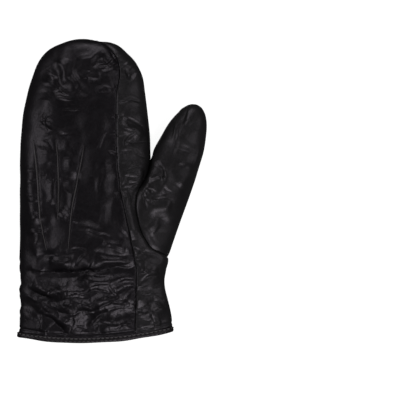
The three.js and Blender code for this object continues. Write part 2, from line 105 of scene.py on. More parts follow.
# Soft ridges and valleys: width, height as a share of FOLD_HEIGHT (below zero for a valley) and
# a few places on the line that it follows
FOLD_HEIGHT = 1.7
SOFT_FOLDS = [
    # broad swells and dips
    (20, 1.0, [(-44, 78), (0, 76), (40, 80)]),
    (22, -1.7, [(-36, 132), (0, 134), (26, 132)]),
    (9, 0.9, [(-32, 37), (0, 36), (32, 39)]),
    (10, 1.3, [(-38, 43), (-20, 42), (2, 43)]),
    # down the back
    (13, -1.5, [(14.5, 212), (15.5, 183), (14.5, 151), (13, 118.5)]),
    (8, -0.5, [(6.5, 200.5), (6.5, 174), (4.5, 145), (3, 116)]),
    (3.2, 0.6, [(14, 154), (13.5, 140.5), (13, 121)]),
    (10, 1.6, [(32, 138), (33.5, 118.5), (37, 101), (41, 86.5)]),
    (5, 0.8, [(27.5, 194.5), (27.5, 174)]),
    (14, 1.9, [(-24, 214), (-24, 196), (-23, 176)]),
    (6, 1.5, [(-46, 155), (-46.8, 132), (-44, 112), (-41.5, 100)]),
    (5, 1.5, [(-41.5, 113), (-41.5, 97), (-39, 75)]),
    (6, 0.9, [(-16.5, 177), (-13, 164), (-10, 155), (-8, 138)]),
    (5, 0.6, [(-8, 152.5), (-11.5, 137.5), (-14.5, 129)]),
    (5, 1.2, [(-26.5, 139), (-26, 129), (-25, 118.5)]),
    (7, 0.9, [(-33.5, 168.5), (-30.5, 148)]),
    (6, -1, [(-17.5, 140.5), (-17, 121.5), (-14.5, 108.5)]),
    (5, -0.4, [(-28.5, 111.5), (-26.5, 94), (-25, 82.5)]),
    (6, -0.6, [(-10, 111.5), (3, 107), (20.5, 102.5)]),
    (5, 0.5, [(-4.5, 102), (9, 96), (22, 89.5)]),
    (6, -0.7, [(0, 91), (17.5, 88), (29, 86.5)]),
    (4, 1, [(14.5, 86.5), (26.5, 83.5), (36.5, 81.5)]),
    # over the finger tips
    (6, -1.3, [(-29, 235.5), (-22.5, 225), (-18, 213.5)]),
    (4.5, 1.2, [(-17.6, 243), (-17.6, 233.6), (-14, 226.4), (-5.7, 215.7)]),
    (4, -0.75, [(-8.7, 240), (-9.3, 228), (-3.3, 218), (2.7, 212)]),
    (4.5, 0.95, [(12.3, 251), (6.3, 243.2), (-3.3, 236.6), (-5.1, 231), (-0.9, 224), (5.1, 216)]),
    (5, -0.7, [(4.5, 232.5), (3.5, 224)]),
    (5, -0.5, [(13, 246), (13, 240), (14, 235)]),
    (8, 1.0, [(21, 241), (23, 236)]),
    (5, 0.6, [(6.5, 219.5), (16, 222), (26.5, 225)]),
    (5, -0.6, [(6.5, 224.5), (17.5, 225), (29, 226.5)]),
    (5, 0.7, [(13, 227), (20.5, 229), (28.5, 230)]),
    (5, -0.6, [(9, 215.5), (20.5, 218.5), (27.5, 220)]),
    (5, -1.6, [(34.5, 229.5), (39.5, 231), (44, 227.5)]),
    (5, 0.7, [(35.5, 240), (41.5, 234)]),
    (5, 0.7, [(-25, 228), (-29, 218)]),
    # across the wrist
    (6, 1.3, [(-30.5, 70), (-22, 67.5), (-11.5, 66)]),
    (6, 1.3, [(-3.5, 72), (1.5, 68.5), (6, 66)]),
    (5, 0.9, [(10, 72), (23.5, 69), (36.5, 72)]),
    (4, -1.2, [(-40, 73.5), (-25, 74.5), (-9, 76.5)]),
    (4, -1, [(9, 76.5), (26.5, 75), (39.5, 76.5)]),
    (6, -2.4, [(-51, 60), (-23.5, 58.5), (-1.7, 59), (21.5, 61), (44, 64.5)]),
    (4, 1, [(-45, 62), (-39.5, 61.5), (-34.5, 61.5)]),
    (5, 0.9, [(-8, 52), (4, 52), (17.5, 54.5), (42, 58)]),
    (4, -1.4, [(-47.5, 48), (-38, 40.5), (-29, 37), (-14.5, 37)]),
    (4, 1.3, [(-20.5, 42.5), (-9, 44.5), (6, 46.5)]),
    (4, 1.1, [(-44, 51), (-36.5, 46), (-29, 43)]),
    (4, -1.1, [(6, 43), (20.5, 41.5), (32, 37)]),
    (5, 1.3, [(-17.5, 35.5), (-3, 33), (11.5, 35.5)]),
    (8, 1.5, [(-22, 27), (-2, 27), (14.5, 31)]),
    (4, 1.2, [(-32, 22.5), (-22, 19.5), (-11.5, 15)]),
    (4, -1.5, [(2.5, 12.5), (10, 21.5), (20.5, 29)]),
    (4, -1.3, [(-39, 26), (-29, 19), (-22, 13.5), (-14.5, 7)]),
    (4, 1.2, [(-38, 15), (-29, 11)]),
    (4, 1, [(14.5, 13.5), (29, 15), (41, 16.5)]),
    (5, -0.9, [(20.5, 19.5), (32, 22.5), (42.5, 28.5)]),
    (4, -1, [(-51, 34), (-44, 28.5), (-39.5, 19.5)]),
    # on the index side
    (6, 0.9, [(33.5, 194.5), (44, 191.5), (52.5, 189)]),
    (5, -0.8, [(28.5, 192.5), (38, 191.5), (51, 183)]),
    (4, 1.2, [(32, 183), (42.5, 181.5), (51, 175.5)]),
    (4, -0.9, [(35, 170.5), (45, 171.5), (54.5, 171)]),
    (5, 1.2, [(35, 151), (42.5, 146.5), (46.5, 140.5)]),
    (6, 1.2, [(50, 160), (49, 145), (46, 132)]),
    (4, -0.9, [(30, 130.5), (38, 129), (44, 121.5)]),
    (4, -1, [(45, 42), (55.5, 44.5), (67, 47.5)]),
    (4, -1.3, [(45.5, 28.5), (55.5, 32.5), (68.5, 37)]),
    (5, 1.4, [(55.5, 25.5), (61.5, 26), (68, 30)]),
    (5, 1.2, [(58.5, 16.5), (65.5, 18)]),
    (5, 1, [(48, 62), (55.5, 60.5), (62.5, 62)]),
    (5, -1.2, [(44, 74.5), (54, 76.5), (67, 72)]),
    # on the thumb
    (12, 1.9, [(79, 192), (86, 190)]),
    (7, -1.0, [(76, 165.5), (84.5, 163), (96.5, 159.5)]),
    (5, 1.1, [(65.7, 154), (68.5, 147), (71, 140), (68.5, 134), (62, 129)]),
    (5, -1.3, [(62, 155), (63.5, 145), (65, 139)]),
    (6, 1, [(84.5, 154), (86, 142), (81.5, 133.5)]),
    (5, 1.6, [(59, 140.5), (53.5, 132.5), (46, 124)]),
    (4, -1.6, [(51, 145), (50.5, 137.5), (44, 124)]),
    (4, -1, [(56, 130.5), (51, 121.5)]),
    (5, 0.9, [(52.5, 114), (65.5, 116), (74.5, 117.5)]),
    (5, -0.4, [(58.5, 121.5), (70, 122.5)]),
    (6, 1, [(57, 102.5), (62.5, 95.5)]),
    (5, 0.8, [(74.5, 108.5), (75, 94)]),
    (5, -0.9, [(68, 108.5), (68.5, 94)]),
]

# Sharp creases with raised lips: width, depth and a few places on the line
CREASES = [
    # over the back
    (0.7, 0.35, [(-20.5, 207.5), (-14.5, 207), (-7.5, 206)]),
    (0.7, 0.3, [(-22, 210), (-15.5, 209), (-10, 209)]),
    (0.6, 0.3, [(-18, 203.5), (-11.5, 204), (-4.5, 203.5)]),
    (0.6, 0.3, [(-19, 197.5), (-9, 199), (0, 197.5)]),
    (0.7, 0.5, [(-37, 192.5), (-31.5, 189), (-24, 187.5)]),
    (0.7, 0.5, [(-38, 187.5), (-32, 183), (-26.5, 180)]),
    (0.6, 0.5, [(-29, 194.5), (-32, 187.5), (-30.5, 180)]),
    (0.6, 0.4, [(-35, 174), (-29, 171.5), (-25, 165.5)]),
    (1.0, 0.6, [(-48, 147), (-44, 147.5), (-40, 146)]),
    (1.0, 0.7, [(-48, 138), (-44, 137), (-40, 138.5)]),
    (0.9, 0.5, [(-48, 127), (-44, 126), (-40, 128)]),
    (1.0, 0.6, [(-47, 119), (-42, 118.5), (-36.5, 120)]),
    (1.0, 0.8, [(-46, 98), (-38, 97), (-30.5, 98.5)]),
    (0.6, 0.4, [(-44, 92), (-37, 95.5), (-30.5, 94)]),
    (0.6, 0.4, [(-29, 151), (-25, 145)]),
    (0.6, 0.4, [(-22, 114.5), (-18, 108.5), (-17, 104)]),
    (0.7, 0.5, [(-20.5, 118.5), (-15.5, 113), (-14, 107)]),
    (0.6, 0.25, [(-15.5, 154), (-9, 154.5)]),
    (0.7, 0.5, [(-15.5, 102.5), (-9, 105), (-3, 104)]),
    (0.6, 0.45, [(14.5, 94), (19, 92), (22, 90.5)]),
    (0.6, 0.45, [(20.5, 180), (14.5, 171.5), (11.5, 165.5)]),
    (0.5, 0.35, [(20.5, 162.5), (27.5, 161)]),
    (0.5, 0.35, [(20.5, 154), (27.5, 155)]),
    (0.7, 0.5, [(29, 101), (33.5, 92.5), (35.5, 86.5)]),
    # over the finger tips
    (0.8, 0.7, [(16.5, 243.5), (20.5, 238), (27.5, 236)]),
    (0.7, 0.6, [(22.5, 246.5), (25.5, 242), (28.5, 240.5)]),
    (0.6, 0.35, [(16, 234), (22, 234.5), (27.5, 232.5)]),
    (0.7, 0.4, [(14.5, 239), (20.5, 240)]),
    (0.9, 0.25, [(6, 225), (17.5, 226), (29, 226)]),
    (0.6, 0.5, [(17.5, 220), (23.5, 215), (20.5, 207.5)]),
    (0.6, 0.25, [(4.5, 232.5), (3.5, 225), (6.5, 221)]),
    (0.6, 0.45, [(-22, 218), (-17.5, 212.5), (-11.5, 211)]),
    (0.6, 0.4, [(-30.5, 233), (-25.5, 225), (-22, 216.5)]),
    # across the wrist
    (0.9, 1.1, [(-47, 60.7), (-23.5, 60), (-1.7, 61.2), (21.5, 62.8), (44, 65.4)]),
    (0.7, 0.7, [(-46.5, 48.5), (-41.5, 43), (-34.5, 39), (-25, 39.5)]),
    (0.7, 0.7, [(-20.5, 41), (-7.5, 43), (6, 44.5), (20.5, 43.5)]),
    (0.8, 0.7, [(-38, 35.5), (-23.5, 27.5), (-7.5, 26), (9, 29), (26.5, 35.5), (44, 43.5)]),
    (0.7, 0.8, [(2.5, 12), (10, 21), (20.5, 29)]),
    (0.7, 0.7, [(-39, 26.5), (-29, 19.5), (-22, 13.5), (-15.5, 8)]),
    (0.6, 0.6, [(-10, 25), (-9, 19.5), (-10, 13.5)]),
    (0.6, 0.5, [(22, 56), (24, 48.5), (29, 43)]),
    (0.6, 0.5, [(6, 47.5), (14.5, 51), (22, 51.5)]),
    (0.6, 0.5, [(25, 65), (32, 66), (41, 68.5)]),
    (0.6, 0.5, [(9, 57.5), (20.5, 59)]),
    (0.6, 0.5, [(29, 51.5), (35, 54.5), (42.5, 55.5)]),
    (0.6, 0.5, [(27.5, 44.5), (35, 46.5), (43, 48.5)]),
    (0.6, 0.5, [(-29, 34), (-25, 30)]),
    (0.6, 0.5, [(-4.5, 37), (3, 33.5), (9, 34)]),
    (0.6, 0.5, [(-17.5, 32.5), (-10, 30)]),
    (0.6, 0.5, [(14.5, 37), (20.5, 39.5), (29, 41.5)]),
    (0.6, 0.5, [(22, 28.5), (32, 30), (43, 31)]),
    (0.6, 0.5, [(9, 15), (17.5, 18), (29, 19)]),
    (0.6, 0.5, [(29, 11), (33.5, 16.5), (42.5, 19.5)]),
    (0.6, 0.5, [(-7.5, 15), (0, 13.5), (6, 9.5)]),
    (0.6, 0.5, [(-35, 31), (-29, 24)]),
    (0.6, 0.5, [(-46.5, 40), (-39.5, 35.5)]),
    (0.6, 0.5, [(20.5, 82.5), (29, 81), (38, 79)]),
    (0.6, 0.5, [(3, 95.5), (10, 93), (17.5, 92)]),
    (0.6, 0.5, [(-9, 79.5), (-3, 81), (4.5, 80)]),
    # on the index side
    (0.7, 0.7, [(29, 206), (39.5, 206.5), (51, 205.5)]),
    (0.8, 0.8, [(29, 193), (38, 192), (44, 189), (51, 183)]),
    (0.7, 0.7, [(35, 170), (45, 171.5), (55, 171)]),
    (0.7, 0.6, [(30, 162), (41, 163), (55.5, 158)]),
    (0.7, 0.7, [(35, 167.5), (39.5, 175.5), (44, 180)]),
    (0.6, 0.6, [(32, 183), (38, 180.5), (44, 181.5)]),
    (0.7, 0.7, [(35.5, 148), (42.5, 149.5), (46.5, 148)]),
    (0.7, 0.7, [(35, 142), (42.5, 142), (47.5, 140)]),
    (0.7, 0.7, [(38, 135), (44, 137.5), (48, 137)]),
    (0.7, 0.6, [(41, 130.5), (45, 135)]),
    (0.6, 0.5, [(32, 133.5), (36.5, 136.5), (39.5, 145)]),
    (0.6, 0.5, [(20.5, 164), (26.5, 159.5)]),
    (0.7, 0.5, [(48, 66), (54, 62), (62.5, 61)]),
    (0.7, 0.6, [(47.5, 57.5), (54, 60.5), (58.5, 65)]),
    (0.7, 0.6, [(48, 51.5), (55.5, 56), (64, 57.5)]),
    (0.6, 0.5, [(46.5, 46), (54, 48.5), (65.5, 51)]),
    (0.7, 0.7, [(45.5, 28.5), (55.5, 33), (68.5, 37.5)]),
    (0.7, 0.6, [(46, 39.5), (55.5, 41.5), (65.5, 43)]),
    (0.6, 0.5, [(55.5, 22), (58.5, 28.5), (63.5, 30)]),
    (0.6, 0.5, [(55.5, 15), (61.5, 19.5), (68.5, 20.5)]),
    (0.6, 0.5, [(46.5, 16.5), (51, 13.5), (58.5, 12.5)]),
    (0.6, 0.5, [(42.5, 81), (49.5, 79), (55.5, 79.5)]),
    # on the thumb
    (0.9, 0.9, [(65, 149.5), (65.5, 140.5), (67, 136.5)]),
    (0.9, 1, [(51, 146.5), (50.5, 137.5), (44.5, 124.5)]),
    (0.7, 0.7, [(59, 129), (55.5, 130.5), (52.5, 124.5)]),
    (0.6, 0.3, [(77.5, 166), (86, 162.5), (97.5, 159.5)]),
    (0.6, 0.4, [(87.5, 190), (81.5, 183), (77.5, 174)]),
    (0.6, 0.5, [(46.5, 130.5), (51, 121.5), (52, 114.5)]),
    (0.7, 0.7, [(47, 102), (51, 91), (58.5, 82.5), (67, 75.5)]),
    (0.7, 0.6, [(51, 102.5), (55.5, 92.5), (62.5, 83.5)]),
    (0.6, 0.4, [(58.5, 122.5), (67, 123), (74.5, 121.5)]),
    (0.6, 0.4, [(68.5, 132), (74.5, 127.5)]),
]

# Oval patches where fine crinkles gather: middle x and y, reach in x and y, and strength
CRINKLED = [
    (4, 34, 80, 26, 1.0),
    (49, 69, 12, 10, 0.9),
    (40, 146, 12, 24, 1.0),
    (41, 182, 14, 14, 0.5),
    (20, 239, 9, 7, 0.3),
    (-32, 190, 10, 9, 0.8),
    (-32, 152, 8, 25, 0.5),
    (-16, 111, 6, 8, 0.8),
    (-8, 87, 22, 10, 0.5),
    (86, 182, 10, 12, 0.3),
    (64, 92, 12, 14, 0.3),
]

# The smooth patch along the valley: middle x and y, reach in x and y, and how smooth
CALM = (10, 160, 19, 54, 0.8)

# Lines of the three stitched points, along which the leather is drawn in
POINTS = {
    "point_outer": [(-43.3, 173.4), (-40.8, 156.3), (-39.3, 136.5), (-36.1, 102.2), (-31.2, 79.0)],
    "point_middle": [(-23.5, 173.4), (-22.1, 156.3), (-21.8, 132.1), (-22.1, 104.8)],
    "point_inner": [(0.2, 169.0), (-1.7, 157.0), (-6.8, 131.3), (-10.4, 111.5), (-12.9, 79.0)],
}


def table_at(table, at):
    """Rows of a table at places between its rows, on a smooth curve through each column: the
    Catmull-Rom cubic of the two rows before and the two after."""
    table = np.asarray(table, float)
    at = np.asarray(at, float)
    start = np.clip(np.floor(at).astype(int), 0, len(table) - 2)
    share = (at - start)[..., None]
    a, b, c, d = (table[np.clip(start + k, 0, len(table) - 1)] for k in (-1, 0, 1, 2))
    bend = (2 * a - 5 * b + 4 * c - d) * share + (3 * b - a - 3 * c + d) * share ** 2
    return b + 0.5 * share * (c - a + bend)


def arch(angle, squareness):
    """Height of a section over its middle, as a share: the superellipse
    (1 - |cos|^n)^(1/n), which is an ellipse for n = 2 and squarer above."""
    return (1 - np.abs(np.cos(angle)) ** squareness) ** (1 / squareness)


def unit(vectors):
    """Vectors made one long: each over the root of the sum of its squares."""
    return vectors / np.maximum(np.linalg.norm(vectors, axis=-1, keepdims=True), 1e-9)


def normal_of(surface, at, angle, tip):
    """Outward direction: the cross product of small steps round and along the surface."""
    step = 0.01
    at = np.clip(at, step, tip - 0.05)
    around = surface(at, angle + step) - surface(at, angle - step)
    along = surface(at + step, angle) - surface(at - step, angle)
    return unit(np.cross(around, along))


def hand_base(at, angle):
    """Smooth hand: x and y run from the section's left end to its right end as (1 - cos) / 2,
    less a sag of 4 s (1 - s); z is the side seams' height plus the arch times the rise, or minus
    the drop underneath, and never under the floor."""
    at, angle = np.broadcast_arrays(np.asarray(at, float), angle)
    left_x, left_y, right_x, right_y, rise, drop, sag, _ = np.moveaxis(table_at(HAND, at), -1, 0)
    across = (1 - np.cos(angle)) / 2
    height = arch(angle, HAND_SQUARENESS) * PALM_THICKNESS * np.where(np.sin(angle) >= 0, rise, -drop)
    lift = HEM_PROUD * np.maximum(0, 1 - at / 2)
    return np.stack([
        (left_x + (right_x - left_x) * across) * PALM_WIDTH,
        (left_y + (right_y - left_y) * across - sag * 4 * across * (1 - across)) * LENGTH,
        np.maximum(SEAM_HEIGHT + height, lift),
    ], -1)


def hand_normal(at, angle):
    """Outward direction of the smooth hand."""
    return normal_of(hand_base, at, angle, TIP)


def seam_angle(at):
    """Turn at which a section reaches the seam on the back: arccos(1 - 2 share)."""
    return np.arccos(1 - 2 * table_at(HAND, at)[..., 7])


def ripple(spot, wavelength, seed):
    """Even random swell of about that wavelength: twelve plane waves of seeded directions,
    lengths and phases, added up and scaled to a spread of one."""
    rng = np.random.default_rng(seed)
    turn = rng.uniform(0, FULL_TURN, 12)
    wave = FULL_TURN / (wavelength * rng.uniform(0.7, 1.4, 12))
    phase = rng.uniform(0, FULL_TURN, 12)
    total = np.zeros(spot.shape[:-1])
    for heading, number, start in zip(turn, wave, phase):
        ahead = spot[..., 0] * np.cos(heading) + spot[..., 1] * np.sin(heading)
        total += np.cos(number * ahead + start)
    return total / np.sqrt(6)


def line_distance(spot, line):
    """Distance from a smooth line through a few points, and the share of it passed at the
    nearest place: the least of the distances to its short straight stretches."""
    stops = table_at(line, np.linspace(0, len(line) - 1, 4 * (len(line) - 1) + 1))
    nearest = np.full(len(spot), np.inf)
    passed = np.zeros(len(spot))
    for k, (start, end) in enumerate(zip(stops[:-1], stops[1:])):
        run = end - start
        share = np.clip(((spot - start) @ run) / (run @ run), 0, 1)
        distance = np.linalg.norm(spot - start - share[:, None] * run, axis=1)
        closer = distance < nearest
        nearest[closer] = distance[closer]
        passed[closer] = ((k + share) / (len(stops) - 1))[closer]
    return nearest, passed


def add_folds(height, spot, folds, reach, profile):
    """Adds each fold of a list where it is near: its profile of distance over width, times its
    height, fading over the first and last quarter of its line."""
    for width, size, line in folds:
        line = np.array(line, float)
        margin = reach * width
        near = np.all((spot > line.min(0) - margin) & (spot < line.max(0) + margin), axis=1)
        if near.any():
            distance, passed = line_distance(spot[near], line)
            ends = np.clip(np.minimum(passed, 1 - passed) * 4, 0, 1)
            height[near] += size * profile(distance / width) * (0.25 + 0.75 * ends)


def soft_profile(d):
    """A bell: exp(-d^2)."""
    return np.exp(-d ** 2)


def crease_profile(d):
    """A sharp valley, -exp(-d), with a low bell on either side for its lip."""
    return 0.25 * soft_profile((d - 3.2) / 1.8) - np.exp(-d / 1.15)


def crumple(spot, wavelength, seed):
    """A net of narrow valleys between flat plates of leather: the valleys run where a random
    swell is zero, and the plates are where its size is over a half."""
    return np.minimum(np.abs(ripple(spot, wavelength, seed)) * 2, 1) - 1


def patch(spot, x, y, reach_x, reach_y, strength):
    """An oval patch: the strength times exp(-a^2), where a is the sum of the squares of the
    distances in x and y over their reaches."""
    away = ((spot[:, 0] - x) / reach_x) ** 2 + ((spot[:, 1] - y) / reach_y) ** 2
    return strength * np.exp(-away ** 2)


def relief(spot):
    """Height over the smooth upper side: a slow swell, the folds and creases along lines that
    wander a little, crinkles in their patches, and a groove along each stitched point. The swell
    and the crinkles fade in the calm patch."""
    flat = spot.reshape(-1, 2)
    wander = np.stack([ripple(flat, 17, 1), ripple(flat, 17, 2)], -1)
    bent = flat + 0.7 * wander
    calm = patch(flat, *CALM)
    height = (1 - calm) * (0.28 * ripple(flat, 31, 3) + 0.07 * ripple(flat, 11, 4))
    folds = np.zeros(len(flat))
    add_folds(folds, bent, SOFT_FOLDS, 2.6, soft_profile)
    height += FOLD_HEIGHT * folds
    add_folds(height, bent, CREASES, 6, crease_profile)
    gathered = np.zeros(len(flat))
    for oval in CRINKLED:
        gathered = np.maximum(gathered, patch(flat, *oval))
    rough = (0.08 + 0.92 * gathered) * (1 - calm)
    height += rough * 0.18 * ripple(bent * np.array([0.6, 1.0]), 13, 15)
    height += rough * 0.25 * crumple(bent * np.array([0.7, 1.0]), 9, 5)
    height += rough * 0.15 * crumple(bent, 6, 6)
    for line in POINTS.values():
        add_folds(height, flat, [(1.5, -0.5, line)], 4, soft_profile)
    return height.reshape(spot.shape[:-1])


# The thumb hole in the palm panel, from one section to another: its edge as a share of the half
# turn from the left side over the back to the right side
HOLE_FROM = 7
HOLE_TO = 12
HOLE = [1.000, 0.830, 0.789, 0.768, 0.763, 0.763, 0.775, 0.804, 0.869, 0.930, 1.000]

# Nicks along the little finger side, where the seam puckers: place along the hand and depth
NICKS = [(68.5, 0.9), (59.0, 0.5), (50.5, 0.9), (42.0, 1.1), (31.0, 0.6), (23.0, 1.0)]
SEAM_PUCKER = 3.1  # from one pucker of a seam to the next
HEM_DIP = 2.8  # how far above the hem the leather is drawn in
OUT_OF_REACH = 1000.0  # added to the distance from the hole where a section doesn't cross it


def hole_angle(at):
    """Turn at which a section reaches the upper edge of the thumb hole."""
    along = np.clip((np.asarray(at, float) - HOLE_FROM) / (HOLE_TO - HOLE_FROM), 0, 1)
    return np.pi * table_at(np.array(HOLE)[:, None], along * (len(HOLE) - 1))[..., 0]


def seam_dip(away, groove):
    """Depth beside a seam: a sharp groove, exp(-distance / groove), in a wide shallow dip."""
    return 0.75 * np.exp(-away / groove) + 0.55 * soft_profile(away / 3.6)


def seam_pull(at, angle, place):
    """How far the seams draw the leather in: the dip and the puckers beside the nearest seam on
    the same section, a dip above the hem, and the nicks, which fade away from the little finger
    side with the sine of half the turn."""
    in_hole = (at > HOLE_FROM) & (at < HOLE_TO)
    hole = np.where(in_hole, hole_angle(at), 0.0)
    hole_away = np.where(in_hole, 0.0, OUT_OF_REACH)
    seams = [(0.0, 0.0), (seam_angle(at), 0.0), (hole, hole_away), (FULL_TURN - hole, hole_away)]
    away = np.full(place.shape[:-1], np.inf)
    for turn, extra in seams:
        away = np.minimum(away, np.linalg.norm(place - hand_base(at, turn), axis=-1) + extra)
    pull = seam_dip(away, 0.55)
    puckers = np.sin(FULL_TURN * place[..., 1] / SEAM_PUCKER + 1.5 * ripple(place[..., :2], 20, 7))
    strength = 0.6 + 0.4 * ripple(place[..., :2], 25, 8)
    pull += 0.16 * strength * puckers * np.exp(-away / 2.4) * (1 - np.exp(-away / 0.8))
    above_hem = np.linalg.norm(place - hand_base(0.0, angle), axis=-1)
    pull += 0.55 * soft_profile((above_hem - HEM_DIP) / 0.9) * (at < 2)
    fading = np.exp(-10 * np.abs(np.sin(angle / 2)))
    for y, depth in NICKS:
        pull += depth * soft_profile((place[..., 1] - y) / 1.8) * fading
    return pull


def hand_lift(at, angle, place):
    """Relief over the upper side less the seams' pull; the underside is only dented inwards, so
    it still rests on the floor."""
    upper = np.sqrt(np.clip(np.sin(angle), 0, 1))
    under = np.clip(-np.sin(angle), 0, 1)
    lift = upper * relief(place[..., :2]) - seam_pull(at, angle, place)
    lift -= under * 0.15 * (1 + np.tanh(ripple(place[..., :2], 24, 9)))
    return lift * np.clip((TIP - at) / 0.5, 0, 1)


def hand_outer(at, angle):
    """The smooth hand, moved along its normal by the lift."""
    at, angle = np.broadcast_arrays(np.asarray(at, float), angle)
    place = hand_base(at, angle)
    moved = place + hand_lift(at, angle, place)[..., None] * hand_normal(at, angle)
    moved[..., 2] = np.maximum(moved[..., 2], 0)
    return moved


def wall_normal(at, angle):
    """Direction through the wall, leaning over where the leather folds round the crotch."""
    crotch = hand_base(HOLE_TO, np.pi)
    lean = 1.5 * soft_profile(np.linalg.norm(hand_base(at, angle) - crotch, axis=-1) / 8)
    normal = hand_normal(at, angle)
    normal[..., 1] += lean
    return unit(normal)


def hand_inner(at, angle):
    """The smooth hand a wall further in, and lower still under the deep folds."""
    at, angle = np.broadcast_arrays(np.asarray(at, float), angle)
    place = hand_base(at, angle)
    sunk = np.minimum(0, hand_lift(at, angle, place) + 1.0)
    return place + sunk[..., None] * hand_normal(at, angle) - WALL * wall_normal(at, angle)


def run_along(track):
    """Distance run at each point of a track, from nought at the first."""
    return np.concatenate([[0], np.cumsum(np.linalg.norm(np.diff(track, axis=0), axis=1))])


def spaced(surface, start, end, count):
    """Places along a surface's top line, an even distance apart."""
    fine = np.linspace(start, end, 400)
    run = run_along(surface(fine, np.pi / 2))
    return np.interp(np.linspace(0, run[-1], count + 1), run, fine)


def quads(index):
    """Four-cornered faces between the neighbours in grids of point numbers."""
    corners = [index[..., :-1, :-1], index[..., :-1, 1:], index[..., 1:, 1:], index[..., 1:, :-1]]
    return np.stack(corners, -1).reshape(-1, 4)


class Skin:
    """Points and faces of one closed shell. Outer grids are fine; inner grids have one row and
    column for every few of the outer ones, and rims of polygons close the edges."""

    def __init__(self):
        self.points, self.faces, self.inside, self.count = [], [], [], 0

    def indices(self, grid):
        """Takes up a grid of points and gives back their numbers."""
        index = self.count + np.arange(grid[..., 0].size).reshape(grid.shape[:-1])
        self.points.append(grid.reshape(-1, 3))
        self.count += grid[..., 0].size
        return index

    def add(self, faces, inside):
        """Takes up faces, which get the second material where they are on the inside."""
        self.faces += faces.tolist()
        self.inside += [int(inside)] * len(faces)

    def cover(self, index, inside=False):
        """Faces over a grid, turned round where they are on the inside."""
        self.add(quads(index[:, ::-1] if inside else index), inside)

    def rim(self, outer, inner):
        """Closes an edge, taken with its face on the left, against the inner edge under it."""
        steps = (len(outer) - 1) // (len(inner) - 1)
        start = np.arange(len(inner) - 1)[:, None] * steps
        run = outer[start + np.arange(steps, -1, -1)]
        self.add(np.concatenate([run, inner[:-1, None], inner[1:, None]], 1), False)

    def piece(self, name, materials):
        """Makes the piece, with its points moved from the hand's plan to the frame."""
        points = (np.concatenate(self.points) + hand_origin) * 0.001
        return new_piece(name, points, self.faces, materials, self.inside)


SHARP_ANGLE = 0.9


def new_piece(name, points, faces, materials, slots=None):
    """A smooth-shaded piece from points in metres; corners that meet become one."""
    mesh = bpy.data.meshes.new(name)
    mesh.from_pydata(points.tolist(), [], faces)
    mesh.polygons.foreach_set("use_smooth", np.ones(len(faces), bool))
    if slots is not None:
        mesh.polygons.foreach_set("material_index", slots)
    joined = bmesh.new()
    joined.from_mesh(mesh)
    bmesh.ops.remove_doubles(joined, verts=joined.verts, dist=1e-6)
    joined.to_mesh(mesh)
    joined.free()
    mesh.set_sharp_from_angle(angle=SHARP_ANGLE)
    for material in materials:
        mesh.materials.append(material)
    piece = bpy.data.objects.new(name, mesh)
    bpy.context.scene.collection.objects.link(piece)
    return piece


def leather_grain():
    """Shader group for soft leather: pebbled cells with fine creases between them as a height,
    and two uneven values for its colour and its gloss."""
    group = bpy.data.node_groups.new("leather_grain", "ShaderNodeTree")
    for name, kind in (("Place", "NodeSocketVector"), ("Cells", "NodeSocketFloat")):
        group.interface.new_socket(name, in_out="INPUT", socket_type=kind)
    for name in ("Height", "Tone", "Roughness"):
        group.interface.new_socket(name, in_out="OUTPUT", socket_type="NodeSocketFloat")
    nodes, links = group.nodes, group.links
    entry, leave = nodes.new("NodeGroupInput"), nodes.new("NodeGroupOutput")

    def texture(kind, place, scale, **values):
        node = nodes.new(kind)
        links.new(place, node.inputs["Vector"])
        if isinstance(scale, float):
            node.inputs["Scale"].default_value = scale
        else:
            links.new(scale, node.inputs["Scale"])
        for name, value in values.items():
            node.inputs[name].default_value = value
        return node

    def ramp(value, from_low, from_high, to_low, to_high):
        node = nodes.new("ShaderNodeMapRange")
        links.new(value, node.inputs["Value"])
        for name, number in zip(("From Min", "From Max", "To Min", "To Max"),
                                (from_low, from_high, to_low, to_high)):
            node.inputs[name].default_value = number
        return node.outputs["Result"]

    def sum_of(first, second):
        node = nodes.new("ShaderNodeMath")
        links.new(first, node.inputs[0])
        links.new(second, node.inputs[1])
        return node.outputs[0]

    warp = texture("ShaderNodeTexNoise", entry.outputs["Place"], 140.0, Detail=2.0)
    shift = nodes.new("ShaderNodeVectorMath")
    shift.operation = "MULTIPLY_ADD"
    links.new(warp.outputs["Color"], shift.inputs[0])
    shift.inputs[1].default_value = (0.004, 0.004, 0.004)
    links.new(entry.outputs["Place"], shift.inputs[2])
    bent = shift.outputs[0]
    pebbles = texture("ShaderNodeTexVoronoi", bent, entry.outputs["Cells"])
    crazing = texture("ShaderNodeTexVoronoi", bent, 260.0)
    crazing.feature = "DISTANCE_TO_EDGE"
    patches = texture("ShaderNodeTexNoise", entry.outputs["Place"], 45.0, Detail=4.0)
    scuffs = texture("ShaderNodeTexNoise", bent, 420.0, Detail=3.0)
    cell = ramp(pebbles.outputs["Distance"], 0.0, 0.8, 0.35, 0.0)
    line = ramp(crazing.outputs["Distance"], 0.0, 0.14, -0.8, 0.0)
    swell = ramp(scuffs.outputs["Fac"], 0.3, 0.7, 0.0, 0.25)
    links.new(sum_of(sum_of(cell, line), swell), leave.inputs["Height"])
    links.new(ramp(patches.outputs["Fac"], 0.3, 0.7, 0.0, 1.0), leave.inputs["Tone"])
    uneven = ramp(patches.outputs["Fac"], 0.3, 0.7, 0.29, 0.35)
    scuffed = ramp(scuffs.outputs["Fac"], 0.3, 0.7, 0.0, 0.08)
    links.new(sum_of(uneven, scuffed), leave.inputs["Roughness"])
    return group


grain = leather_grain()


def new_material(name):
    """A plain material with the nodes, links and shader that its finish is built from."""
    material = bpy.data.materials.new(name)
    material.use_nodes = True
    tree = material.node_tree
    return material, tree.nodes, tree.links, tree.nodes["Principled BSDF"]


